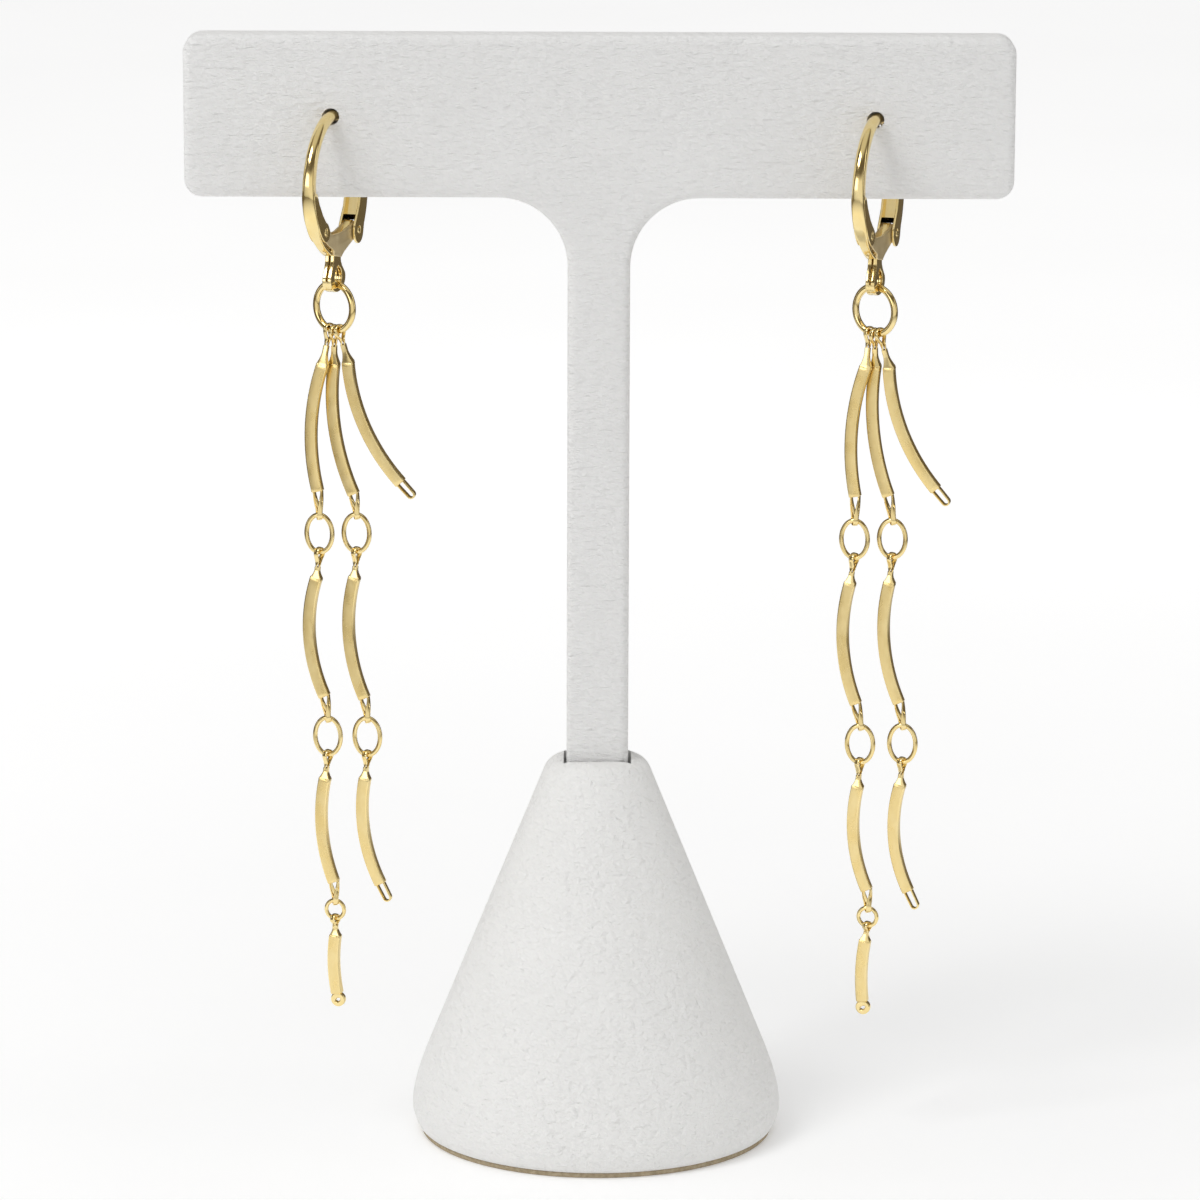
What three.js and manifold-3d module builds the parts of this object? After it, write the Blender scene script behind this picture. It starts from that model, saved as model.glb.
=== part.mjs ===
// Pair of lever-back dangle earrings with strands of curved bar links, hung on a plain
// white T-bar display stand with a round conical foot.
// Millimetres, +Z up. The stand faces -Y, and the origin is on the table under its foot.

import * as THREE from 'three';
import { mergeVertices } from 'three/addons/utils/BufferGeometryUtils.js';
import Module from 'manifold-3d';

const wasm = await Module();
wasm.setup();

// T-shaped board
const BAR_WIDTH = 83.3;
const BAR_TOP = 113.9;
const BAR_BOTTOM = 97.55;
const BOARD_THICK = 5.0;
const BAR_CORNER = 1.8;
const STEM_WIDTH = 6.3;
const STEM_FILLET = 7.0;
const BOARD_EDGE = 0.8;

// Conical foot
const FOOT_TOP = 39.6;
const FOOT_TOP_RADIUS = 5.6;
const FOOT_TOP_ROUND = 2.0;
const FOOT_WIDE_RADIUS = 19.2;
const FOOT_WIDE_Z = 4.3;
const FOOT_UNDER_RADIUS = 18.0;
const PAD_THICK = 0.8;
const PAD_RADIUS = 18.3;
const SOCKET_DEPTH = 14.0;
const SEAT_GAP = 0.3;

// Hoop of each earring: its plane is turned a little from the board's normal
const HOOP_TURN = THREE.MathUtils.degToRad(17);
const HOOP_RADIUS = 7.4;
const HOOP_Y = -1.7;
// Hook from its lower end over the top to its tip, in columns: angle in degrees above the front,
// outer radius, half thickness, half width, and 1 for a round section down to 0.4 for a square one
const HOOK = [
  [-77, 6.85, 0.17, 0.48, 0.4],
  [-65, 6.72, 0.18, 0.46, 0.4],
  [-50, 6.75, 0.19, 0.46, 0.4],
  [-40, 6.87, 0.20, 0.52, 0.4],
  [-30, 7.08, 0.24, 0.64, 0.4],
  [-22, 7.28, 0.33, 0.69, 0.4],
  [-8, 7.60, 0.52, 0.68, 0.45],
  [10, 7.92, 0.60, 0.64, 0.65],
  [30, 8.02, 0.61, 0.62, 0.9],
  [60, 8.00, 0.60, 0.60, 1.0],
  [90, 7.975, 0.575, 0.575, 1.0],
  [126, 7.975, 0.575, 0.575, 1.0],
  [144, 7.64, 0.54, 0.54, 1.0],
  [156, 7.28, 0.48, 0.48, 1.0],
  [161, 7.24, 0.46, 0.46, 1.0],
];
const EAR_HOLE = 1.7;
const CLASP_OUTER = 1.4;
const CLASP_INNER = 1.16;
const SADDLE_WIDTH = 1.1;
const SADDLE_SLOT = 0.6;
const NECK_SLOT = 0.16;
const EYE_WIDTH = 0.95;
const LEVER_OUTER = 1.8;
const LEVER_INNER = 1.3;
const PIN = 0.7;
const PIN_HOLE = 0.9;
const PIN_PROUD = 0.1;
const RIVET_AT = [4.2, -3.85];
const HINGE_AT = [-5.1, -4.85];

// Rings
const MAIN_RING = { outer: 5.55, wire: 0.7, turn: 39, drop: 12.0 };
const OVAL_RING = { width: 3.25, height: 4.35, wire: 0.48, turn: 18 };
const SMALL_RING = { width: 2.35, height: 2.35, wire: 0.42, turn: 18 };
const RING_STEPS = 14;
const RING_SIDES = 6;

// Curved bar links
const LINK = { width: 1.2, thick: 0.8, turn: 20 };
const STRAP = 0.2;
const EYE_PLAY = 0.2;
const EYE_REST = 0.09;
const TOP_EYE = { shoulder: 1.2, stem: 1.9, depth: 0.45 };
const RING_EYE = { shoulder: 0.75, stem: 1.1, depth: 0.55 };
const FREE_EYE = { length: 2.0, endRadius: 0.38, depth: 0.6 };
const NECK = { half: 0.26, deep: 0.27 };
const SHOULDER_SHARE = 0.48;
const EYE_SINK = 0.3;
const UPPER_EYE_HALF = 0.15;
const LOWER_EYE_HALF = 0.42;
const EYE_SPACING = 0.66;
const END_TAB = { radius: 0.76, thick: 0.6, hole: 0.5 };

// Strands, in columns: bar, x and z of its head and foot, bow to the left, y of head and foot
// behind the hoop's middle, what it hangs on and what its foot carries. x is from the hoop's middle.
const LEFT_BARS = [
  ['a1', -1.20, 80.55, -1.78, 67.45, 1.00, 0.0, 0.0, 'main', 'a_ring1'],
  ['a2', -1.98, 58.55, -1.22, 46.10, 1.23, 0.0, 0.0, 'a_ring1', 'a_ring2'],
  ['a3', -1.23, 37.55, -0.38, 26.50, 0.85, 0.0, 0.0, 'a_ring2', 'a_ring3'],
  ['a4', -0.28, 20.85, -0.12, 14.65, 0.28, 0.0, 0.0, 'a_ring3', 'tab'],
  ['b1', -0.10, 80.50, 1.85, 67.10, 1.00, 0.8, 0.3, 'main', 'b_ring1'],
  ['b2', 1.88, 58.55, 2.85, 45.85, 1.15, 0.3, 0.3, 'b_ring1', 'b_ring2'],
  ['b3', 2.85, 37.50, 4.40, 26.25, 1.00, 0.3, 0.3, 'b_ring2', 'free'],
  ['c1', 1.35, 80.80, 6.65, 68.35, 1.25, 0.0, 0.0, 'main', 'free'],
];
const RIGHT_BARS = [
  ['a1', -0.85, 80.50, -1.75, 67.10, 0.95, 0.0, 0.0, 'main', 'a_ring1'],
  ['a2', -2.15, 58.20, -1.40, 45.50, 1.10, 0.0, 0.0, 'a_ring1', 'a_ring2'],
  ['a3', -1.10, 36.90, -0.03, 25.85, 0.95, 0.0, 0.0, 'a_ring2', 'a_ring3'],
  ['a4', -0.15, 20.50, -0.35, 14.00, 0.25, 0.0, 0.0, 'a_ring3', 'tab'],
  ['b1', 0.15, 80.45, 1.65, 67.10, 0.90, 0.8, 0.3, 'main', 'b_ring1'],
  ['b2', 1.87, 58.20, 3.02, 45.55, 1.10, 0.3, 0.3, 'b_ring1', 'b_ring2'],
  ['b3', 3.25, 37.00, 4.25, 25.65, 1.10, 0.3, 0.3, 'b_ring2', 'free'],
  ['c1', 1.50, 80.45, 6.45, 67.85, 1.20, 0.0, 0.0, 'main', 'free'],
];
// Rings between the bars, in columns: ring, kind, x, z, y behind the hoop's middle
const LEFT_RINGS = [
  ['a_ring1', 'oval', -1.66, 63.10, 0.0],
  ['a_ring2', 'oval', -0.93, 41.95, 0.0],
  ['a_ring3', 'small', -0.29, 23.60, 0.0],
  ['b_ring1', 'oval', 2.10, 63.10, 0.3],
  ['b_ring2', 'oval', 3.09, 41.85, 0.3],
];
const RIGHT_RINGS = [
  ['a_ring1', 'oval', -1.78, 62.70, 0.0],
  ['a_ring2', 'oval', -0.95, 41.30, 0.0],
  ['a_ring3', 'small', 0.06, 23.00, 0.0],
  ['b_ring1', 'oval', 2.08, 62.70, 0.3],
  ['b_ring2', 'oval', 3.40, 41.30, 0.3],
];
const EARRINGS = [
  { name: 'left', x: -26.65, z: 98.4, bars: LEFT_BARS, rings: LEFT_RINGS },
  { name: 'right', x: 27.85, z: 98.25, bars: RIGHT_BARS, rings: RIGHT_RINGS },
];

// Materials
const gold = new THREE.MeshStandardMaterial({ color: 0xd8b55c, metalness: 1, roughness: 0.28 });
const leatherette = new THREE.MeshStandardMaterial({ color: 0xf1f0ee, metalness: 0, roughness: 0.6 });
const greyboard = new THREE.MeshStandardMaterial({ color: 0xc4b491, metalness: 0, roughness: 0.9 });

// Closed mesh to solid and back
function toSolid(geometry) {
  const bare = geometry.clone();
  bare.deleteAttribute('normal');
  bare.deleteAttribute('uv');
  const welded = mergeVertices(bare, 1e-5);
  return new wasm.Manifold(new wasm.Mesh({
    numProp: 3,
    vertProperties: new Float32Array(welded.attributes.position.array),
    triVerts: new Uint32Array(welded.index.array),
  }));
}

function toGeometry(solid) {
  const mesh = solid.getMesh();
  const geometry = new THREE.BufferGeometry();
  geometry.setAttribute('position', new THREE.BufferAttribute(mesh.vertProperties, 3));
  geometry.setIndex(new THREE.BufferAttribute(mesh.triVerts, 1));
  geometry.computeVertexNormals();
  return geometry;
}

function join(...pieces) {
  return toGeometry(pieces.map(toSolid).reduce((a, b) => a.add(b)));
}

function cut(piece, ...tools) {
  return toGeometry(tools.map(toSolid).reduce((a, b) => a.subtract(b), toSolid(piece)));
}

// A ring of square or round section, bent to any closed path: place(step, side) gives each point
function bentRing(steps, sides, place) {
  const geometry = new THREE.TorusGeometry(1, 0.5, sides, steps);
  const { position, uv } = geometry.attributes;
  for (let i = 0; i < position.count; i += 1) {
    const step = Math.round(uv.getX(i) * steps) % steps;
    const side = Math.round(uv.getY(i) * sides) % sides;
    const point = place(step, side);
    position.setXYZ(i, point.x, point.y, point.z);
  }
  return geometry;
}

// A rod with flat ends, bent to any path: place(step, across, along) gets the unit section's x and z
function bentRod(steps, sides, place) {
  const geometry = new THREE.CylinderGeometry(1, 1, 1, sides, steps);
  const { position } = geometry.attributes;
  for (let i = 0; i < position.count; i += 1) {
    const step = Math.round((position.getY(i) + 0.5) * steps);
    const point = place(step, position.getX(i), position.getZ(i));
    position.setXYZ(i, point.x, point.y, point.z);
  }
  return geometry;
}

// A flat plate of a closed outline, centred on its plane
function plate(shape, thick) {
  const geometry = new THREE.ExtrudeGeometry(shape, { depth: thick, bevelEnabled: false, curveSegments: 6 });
  geometry.translate(0, 0, -thick / 2);
  return geometry;
}

function rod(radius, length, sides, x, y) {
  const geometry = new THREE.CylinderGeometry(radius, radius, length, sides);
  geometry.rotateX(Math.PI / 2);
  geometry.translate(x, y, 0);
  return geometry;
}

function block(x0, x1, y0, y1, thick) {
  const geometry = new THREE.BoxGeometry(x1 - x0, y1 - y0, thick);
  geometry.translate((x0 + x1) / 2, (y0 + y1) / 2, 0);
  return geometry;
}

function named(name, geometry, material) {
  const mesh = new THREE.Mesh(geometry, material);
  mesh.name = name;
  return mesh;
}

// Stand

function boardOutline() {
  const w = BAR_WIDTH / 2;
  const s = STEM_WIDTH / 2;
  const r = BAR_CORNER;
  const f = STEM_FILLET;
  const foot = FOOT_TOP - SOCKET_DEPTH + SEAT_GAP;
  const shape = new THREE.Shape();
  shape.moveTo(-s, foot);
  shape.lineTo(s, foot);
  shape.absarc(s + f, BAR_BOTTOM - f, f, Math.PI, Math.PI / 2, true);
  shape.absarc(w - r, BAR_BOTTOM + r, r, -Math.PI / 2, 0, false);
  shape.absarc(w - r, BAR_TOP - r, r, 0, Math.PI / 2, false);
  shape.absarc(r - w, BAR_TOP - r, r, Math.PI / 2, Math.PI, false);
  shape.absarc(r - w, BAR_BOTTOM + r, r, Math.PI, 1.5 * Math.PI, false);
  shape.absarc(-s - f, BAR_BOTTOM - f, f, Math.PI / 2, 0, true);
  return shape;
}

function board() {
  const tee = new THREE.ExtrudeGeometry(boardOutline(), {
    depth: BOARD_THICK - 2 * BOARD_EDGE,
    bevelThickness: BOARD_EDGE,
    bevelSize: BOARD_EDGE,
    bevelOffset: -BOARD_EDGE,
    bevelSegments: 2,
    curveSegments: 4,
  });
  tee.translate(0, 0, BOARD_EDGE - BOARD_THICK / 2);
  tee.rotateX(Math.PI / 2);
  const channels = EARRINGS.map((earring) => {
    const channel = new THREE.TorusGeometry(HOOP_RADIUS, EAR_HOLE / 2, 8, 24);
    return channel.applyMatrix4(hoopFrame(earring));
  });
  return named('stand_tbar', cut(tee, ...channels), leatherette);
}

function footProfile() {
  const slope = Math.atan2(FOOT_WIDE_RADIUS - FOOT_TOP_RADIUS, FOOT_TOP - FOOT_WIDE_Z);
  const flat = FOOT_TOP_RADIUS - FOOT_TOP_ROUND;
  const bulge = FOOT_WIDE_RADIUS - FOOT_UNDER_RADIUS;
  const reach = FOOT_WIDE_Z - PAD_THICK;
  const points = [[0, PAD_THICK]];
  for (const turn of [-90, -65, -40, -20, 0]) {
    const a = THREE.MathUtils.degToRad(turn);
    points.push([FOOT_UNDER_RADIUS + bulge * Math.cos(a), FOOT_WIDE_Z + reach * Math.sin(a)]);
  }
  for (const share of [0, 0.5, 1]) {
    const a = slope + share * (Math.PI / 2 - slope);
    points.push([flat + FOOT_TOP_ROUND * Math.cos(a), FOOT_TOP - FOOT_TOP_ROUND * (1 - Math.sin(a))]);
  }
  points.push([0, FOOT_TOP]);
  return points.map(([r, z]) => new THREE.Vector2(r, z));
}

function foot() {
  const cone = new THREE.LatheGeometry(footProfile(), 36);
  cone.rotateX(Math.PI / 2);
  const socket = new THREE.BoxGeometry(
    STEM_WIDTH + 2 * SEAT_GAP,
    BOARD_THICK + 2 * SEAT_GAP,
    2 * SOCKET_DEPTH,
  );
  socket.translate(0, 0, FOOT_TOP);
  return named('stand_foot', cut(cone, socket), leatherette);
}

function pad() {
  const disc = new THREE.CylinderGeometry(PAD_RADIUS, PAD_RADIUS, PAD_THICK, 36);
  disc.rotateX(Math.PI / 2);
  disc.translate(0, 0, PAD_THICK / 2);
  return named('stand_pad', disc, greyboard);
}

// Ear fittings, drawn in the hoop's plane: x to the front, y up, z to the far side

function hoopFrame(earring) {
  const front = new THREE.Vector3(-Math.sin(HOOP_TURN), -Math.cos(HOOP_TURN), 0);
  const up = new THREE.Vector3(0, 0, 1);
  const side = new THREE.Vector3().crossVectors(front, up);
  return new THREE.Matrix4().makeBasis(front, up, side).setPosition(earring.x, HOOP_Y, earring.z);
}

function soften(value, power) {
  return Math.sign(value) * Math.abs(value) ** power;
}

function hookAt(degrees) {
  const after = Math.max(1, HOOK.findIndex((row) => row[0] >= degrees));
  const [low, high] = [HOOK[after - 1], HOOK[after]];
  const share = (degrees - low[0]) / (high[0] - low[0]);
  return low.map((value, i) => THREE.MathUtils.lerp(value, high[i], share));
}

function hookWire() {
  const from = HOOK[0][0];
  const to = HOOK[HOOK.length - 1][0];
  const steps = 22;
  return bentRod(steps, 8, (step, x, z) => {
    const degrees = from + (to - from) * step / steps;
    const a = THREE.MathUtils.degToRad(degrees);
    const [, outer, thick, wide, square] = hookAt(degrees);
    const r = outer - thick + thick * soften(x, square);
    return new THREE.Vector3(r * Math.cos(a), r * Math.sin(a), wide * soften(z, square));
  });
}

// The hook's two cheeks, which clasp the saddle's front ear
function hookCheeks() {
  const shape = new THREE.Shape([
    [5.28, -4.3], [5.95, -3.55], [6.55, -2.65], [7.05, -1.65], [7.4, -0.6], [7.5, 0.4],
    [6.75, 0.5], [6.1, -0.7], [5.0, -2.05], [4.2, -2.75], [3.5, -3.2], [3.05, -3.7],
    [3.0, -4.2], [3.35, -4.65], [3.9, -4.85], [4.5, -4.82],
  ].map(([x, y]) => new THREE.Vector2(x, y)));
  const between = block(0, 9, -9, 2, CLASP_INNER);
  const rivet = rod(PIN_HOLE / 2, 4, 12, ...RIVET_AT);
  return cut(plate(shape, CLASP_OUTER), between, rivet);
}

function earHook() {
  return join(hookWire(), hookCheeks());
}

// The saddle: a folded sheet with two cheeks, a front ear, a rear ear and the ring's eye below
function saddle() {
  const degrees = THREE.MathUtils.degToRad;
  const shape = new THREE.Shape();
  shape.moveTo(5.5, -3.2);
  shape.lineTo(4.9, -4.0);
  shape.lineTo(3.9, -4.85);
  shape.lineTo(2.9, -5.4);
  shape.lineTo(1.9, -5.85);
  shape.lineTo(1.35, -6.15);
  shape.lineTo(1.35, -7.1);
  shape.lineTo(1.75, -8.0);
  shape.absellipse(0.1, -9.1, 2.2, 1.32, degrees(22), degrees(-200), true);
  shape.lineTo(-1.15, -7.9);
  shape.lineTo(-0.68, -7.25);
  shape.lineTo(-0.95, -6.85);
  shape.lineTo(-1.8, -6.5);
  shape.lineTo(-4.3, -5.75);
  shape.absarc(HINGE_AT[0], HINGE_AT[1], 0.95, degrees(-80), degrees(-270), true);
  shape.lineTo(-3.8, -4.05);
  shape.lineTo(-1.15, -4.5);
  shape.lineTo(2.2, -4.4);
  shape.lineTo(3.2, -3.0);
  shape.lineTo(4.6, -2.75);
  const body = plate(shape, SADDLE_WIDTH);
  const slot = block(-6.5, 6.5, -6.2, -2.0, SADDLE_SLOT);
  const neckSlot = block(-3, 3, -8.9, -6.1, NECK_SLOT);
  const flanks = [1, -1].map((side) => {
    const flank = block(-3, 3, -11, -7.2, 0.5);
    return flank.translate(0, 0, side * (EYE_WIDTH + 0.5) / 2);
  });
  const eye = rod(1.1, 3, 16, 0.05, -8.96);
  const eyeTop = rod(0.4, 3, 12, 0.12, -8.15);
  const hinge = rod(PIN_HOLE / 2, 4, 12, ...HINGE_AT);
  const rivet = rod(PIN_HOLE / 2, 4, 12, ...RIVET_AT);
  const sheet = cut(body, slot, neckSlot, ...flanks, eye, eyeTop, hinge, rivet);
  return join(sheet, plate(rearFold(), SADDLE_SLOT + 0.1));
}

// The fold that closes the saddle between its cheeks in front of the hinge
function rearFold() {
  return new THREE.Shape([
    [-4.95, -3.8], [-4.3, -3.75], [-3.0, -4.6], [-1.9, -5.6], [-1.6, -6.3],
    [-2.35, -6.25], [-2.8, -5.7], [-3.7, -4.8], [-4.6, -4.2],
  ].map(([x, y]) => new THREE.Vector2(x, y)));
}

// The lever: two flanges astride the saddle's rear ear, a rear web, and a recessed front web below
function lever() {
  const degrees = THREE.MathUtils.degToRad;
  const inner = 5.75;
  const outer = 7.95;
  const wall = 0.35;
  const recess = 0.45;
  const shape = new THREE.Shape();
  shape.absarc(0, 0, outer, degrees(153), degrees(213), false);
  shape.absarc(HINGE_AT[0], HINGE_AT[1], 1.35, degrees(200), degrees(400), false);
  shape.absarc(0, 0, inner, degrees(206), degrees(153), true);
  const body = plate(shape, LEVER_OUTER);
  const upper = new THREE.Shape();
  upper.absarc(0, 0, outer - wall, degrees(140), degrees(178), false);
  upper.absarc(0, 0, inner - 0.5, degrees(178), degrees(140), true);
  const middle = new THREE.Shape();
  middle.absarc(0, 0, outer - wall, degrees(175), degrees(211), false);
  middle.absarc(0, 0, inner + recess + wall, degrees(216), degrees(175), true);
  const front = new THREE.Shape();
  front.absarc(0, 0, inner + recess, degrees(170), degrees(216), false);
  front.absarc(0, 0, inner - 0.5, degrees(216), degrees(170), true);
  const below = new THREE.Shape([
    [-2, -3.3], [-6.84, -3.3], [-6.38, -4.15], [-9, -4.15], [-9, -9], [-2, -9],
  ].map(([x, y]) => new THREE.Vector2(x, y)));
  const hole = rod(PIN_HOLE / 2, 4, 12, ...HINGE_AT);
  const hollows = [upper, middle, front, below].map((room) => plate(room, LEVER_INNER));
  return cut(body, ...hollows, hole);
}

// Rings

function ringFrame(turn, x, y, z) {
  const a = THREE.MathUtils.degToRad(turn);
  const across = new THREE.Vector3(Math.cos(a), -Math.sin(a), 0);
  const up = new THREE.Vector3(0, 0, 1);
  return new THREE.Matrix4()
    .makeBasis(across, up, new THREE.Vector3().crossVectors(across, up))
    .setPosition(x, y, z);
}

function ellipseRing(width, height, wire) {
  const a = (width - wire) / 2;
  const b = (height - wire) / 2;
  return bentRing(RING_STEPS, RING_SIDES, (step, side) => {
    const u = 2 * Math.PI * (step + 0.5) / RING_STEPS;
    const v = 2 * Math.PI * side / RING_SIDES;
    const normal = new THREE.Vector2(b * Math.cos(u), a * Math.sin(u)).normalize();
    const out = wire / 2 * Math.cos(v);
    return new THREE.Vector3(
      a * Math.cos(u) + normal.x * out,
      b * Math.sin(u) + normal.y * out,
      wire / 2 * Math.sin(v),
    );
  });
}

// Where a bar's eye hangs on a ring or carries one: the wire's middle, its run and its diameter
function ringHold(ring, top, slot = 0) {
  const frame = ringFrame(ring.turn, ring.x, ring.y, ring.z);
  const half = (ring.height - ring.wire) / 2;
  const a = slot * EYE_SPACING / half;
  const sign = top ? 1 : -1;
  const point = new THREE.Vector3(half * Math.sin(a), sign * half * Math.cos(a), 0).applyMatrix4(frame);
  const run = new THREE.Vector3(Math.cos(a), -sign * Math.sin(a), 0).transformDirection(frame);
  return { point, run, wire: ring.wire };
}

// Eye of a bar: a strap folded round the ring's wire, twisted from the bar's face to the wire's run
function eyeAxes(base, point, flat, run) {
  const axis = point.clone().sub(base).normalize();
  const across = flat.clone().addScaledVector(axis, -flat.dot(axis)).normalize();
  const back = new THREE.Vector3().crossVectors(axis, across);
  let twist = 0;
  if (run) {
    const level = run.clone().addScaledVector(axis, -run.dot(axis)).normalize();
    const x = back.dot(level);
    const y = new THREE.Vector3().crossVectors(back, level).dot(axis);
    twist = (Math.atan2(y, x) + Math.PI) % Math.PI;
  }
  return { base, axis, across, back, twist };
}

function eyePoint(axes, height, share, x, y) {
  const a = axes.twist * share;
  return axes.base.clone()
    .addScaledVector(axes.axis, height)
    .addScaledVector(axes.across, x * Math.cos(a) - y * Math.sin(a))
    .addScaledVector(axes.back, x * Math.sin(a) + y * Math.cos(a));
}

function eyeStrap(axes, start, middle, baseHalf, endRadius, depth) {
  const reach = middle - start;
  const legs = [0, 0.25, 0.5, 0.75].map((share) => start + share * reach);
  const half = (height) => {
    const share = THREE.MathUtils.smoothstep(height, start + 0.4 * reach, middle);
    return THREE.MathUtils.lerp(baseHalf, endRadius, share);
  };
  const path = legs.map((height) => [half(height), height]);
  for (const turn of [0, 45, 90, 135, 180]) {
    const a = THREE.MathUtils.degToRad(turn);
    path.push([endRadius * Math.cos(a), middle + endRadius * Math.sin(a)]);
  }
  path.push(...legs.reverse().map((height) => [-half(height), height]));
  return bentRing(path.length, 4, (step, side) => {
    const [x, height] = path[step];
    const [nextX, nextHeight] = path[(step + 1) % path.length];
    const [lastX, lastHeight] = path[(step + path.length - 1) % path.length];
    const normal = new THREE.Vector2(nextHeight - lastHeight, lastX - nextX).normalize();
    const out = (side === 0 || side === 3 ? 1 : -1) * STRAP / 2;
    const deep = (side < 2 ? -1 : 1) * depth / 2;
    const share = THREE.MathUtils.smoothstep(height, start, start + 0.6 * reach);
    return eyePoint(axes, height + normal.y * out, share, x + normal.x * out, deep);
  });
}

function eyeStem(axes, eye) {
  const wide = LINK.width * SHOULDER_SHARE;
  const deep = LINK.thick * SHOULDER_SHARE;
  const rows = [
    [eye.stem, NECK.half, NECK.deep],
    [eye.shoulder, NECK.half, NECK.deep],
    [0, wide, deep],
    [-EYE_SINK, wide, deep],
  ];
  return bentRod(rows.length - 1, 4, (step, x, z) => {
    const [height, across, behind] = rows[step];
    return eyePoint(axes, height, 0, Math.sign(x - z) * across, Math.sign(x + z) * behind);
  });
}

// Bar link: an arc of rectangular section, with an eye at each end

function barOutline(length, bow) {
  const radius = (length * length / 4 + bow * bow) / (2 * bow);
  const middle = radius - bow;
  const reach = Math.asin(length / 2 / radius);
  const half = LINK.width / 2;
  const steps = 6;
  const point = (offset, share) => {
    const a = Math.PI + reach * (2 * share - 1);
    const r = radius + offset;
    return new THREE.Vector2(middle + r * Math.cos(a), r * Math.sin(a));
  };
  const outline = [];
  for (let i = 0; i <= steps; i += 1) outline.push(point(half, i / steps));
  for (let i = steps; i >= 0; i -= 1) outline.push(point(-half, i / steps));
  return new THREE.Shape(outline);
}

function barFrame(head, foot) {
  const a = THREE.MathUtils.degToRad(LINK.turn);
  const up = head.clone().sub(foot).normalize();
  const across = new THREE.Vector3(Math.cos(a), -Math.sin(a), 0);
  across.addScaledVector(up, -across.dot(up)).normalize();
  const front = new THREE.Vector3().crossVectors(across, up);
  const middle = head.clone().add(foot).multiplyScalar(0.5);
  return { across, matrix: new THREE.Matrix4().makeBasis(across, up, front).setPosition(middle) };
}

function upperEye(base, hold, across, eye) {
  const axes = eyeAxes(base, hold.point, across, hold.run);
  const middle = hold.point.distanceTo(base);
  const radius = hold.wire / 2 + EYE_PLAY + STRAP / 2;
  return [
    eyeStem(axes, eye),
    eyeStrap(axes, eye.stem - EYE_SINK, middle - EYE_REST, UPPER_EYE_HALF, radius, eye.depth),
  ];
}

function lowerEye(base, hold, across) {
  const axes = eyeAxes(base, hold.point, across, hold.run);
  const middle = hold.point.distanceTo(base);
  const radius = hold.wire / 2 + EYE_PLAY + STRAP / 2;
  return eyeStrap(axes, -EYE_SINK, middle - EYE_REST, LOWER_EYE_HALF, radius, RING_EYE.depth);
}

function freeEye(base, down, across) {
  const axes = eyeAxes(base, base.clone().add(down), across, null);
  const middle = FREE_EYE.length - FREE_EYE.endRadius - STRAP / 2;
  return eyeStrap(axes, -EYE_SINK, middle, LOWER_EYE_HALF, FREE_EYE.endRadius, FREE_EYE.depth);
}

function endTab(matrix, length) {
  const y = -length / 2 - END_TAB.radius * 0.8;
  const disc = rod(END_TAB.radius, END_TAB.thick, 14, 0.1, y);
  return disc.applyMatrix4(matrix);
}

function bar(row, earring, rings) {
  const [, headX, headZ, footX, footZ, bow, headBack, footBack, above, below] = row;
  const head = new THREE.Vector3(earring.x + headX, HOOP_Y + headBack, headZ);
  const foot = new THREE.Vector3(earring.x + footX, HOOP_Y + footBack, footZ);
  const length = head.distanceTo(foot);
  const { across, matrix } = barFrame(head, foot);
  const body = plate(barOutline(length, bow), LINK.thick).applyMatrix4(matrix);
  const slot = { a: -1, b: 0, c: 1 }[row[0][0]];
  const onMain = above === 'main';
  const hold = ringHold(rings[above], false, onMain ? slot : 0);
  const pieces = [body, ...upperEye(head, hold, across, onMain ? TOP_EYE : RING_EYE)];
  if (below === 'free') pieces.push(freeEye(foot, footDirection(length, bow, matrix), across));
  else if (below === 'tab') pieces.push(endTab(matrix, length));
  else pieces.push(lowerEye(foot, ringHold(rings[below], true), across));
  const solid = join(...pieces);
  if (below !== 'tab') return solid;
  const hole = rod(END_TAB.hole / 2, 2, 8, 0.1, -length / 2 - END_TAB.radius * 0.9);
  return cut(solid, hole.applyMatrix4(matrix));
}

// The way the bar's curve runs on past its foot
function footDirection(length, bow, matrix) {
  const lean = 2 * Math.atan2(2 * bow, length);
  return new THREE.Vector3(Math.sin(lean), -Math.cos(lean), 0).transformDirection(matrix);
}

// One earring

function ringTable(earring) {
  const middle = earring.z - MAIN_RING.drop;
  const table = {
    main: {
      width: MAIN_RING.outer, height: MAIN_RING.outer, wire: MAIN_RING.wire,
      turn: MAIN_RING.turn, x: earring.x, y: HOOP_Y, z: middle,
    },
  };
  for (const [name, kind, x, z, back] of earring.rings) {
    const size = kind === 'oval' ? OVAL_RING : SMALL_RING;
    table[name] = { ...size, x: earring.x + x, y: HOOP_Y + back, z };
  }
  return table;
}

function earring(side) {
  const group = new THREE.Group();
  const frame = hoopFrame(side);
  const inHoop = (name, geometry) => {
    group.add(named(`${side.name}_${name}`, geometry.applyMatrix4(frame), gold));
  };
  inHoop('ear_hook', earHook());
  inHoop('saddle', saddle());
  inHoop('lever', lever());
  inHoop('hinge_pin', rod(PIN / 2, LEVER_OUTER + PIN_PROUD, 12, ...HINGE_AT));
  inHoop('front_rivet', rod(PIN / 2, CLASP_OUTER + PIN_PROUD, 12, ...RIVET_AT));
  const rings = ringTable(side);
  for (const [name, ring] of Object.entries(rings)) {
    const geometry = ellipseRing(ring.width, ring.height, ring.wire);
    geometry.applyMatrix4(ringFrame(ring.turn, ring.x, ring.y, ring.z));
    group.add(named(`${side.name}_${name === 'main' ? 'main_ring' : name}`, geometry, gold));
  }
  for (const row of side.bars) {
    group.add(named(`${side.name}_bar_${row[0]}`, bar(row, side, rings), gold));
  }
  return group;
}

const group = new THREE.Group();
group.add(board(), foot(), pad());
for (const side of EARRINGS) group.add(earring(side));

export default group;
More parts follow.
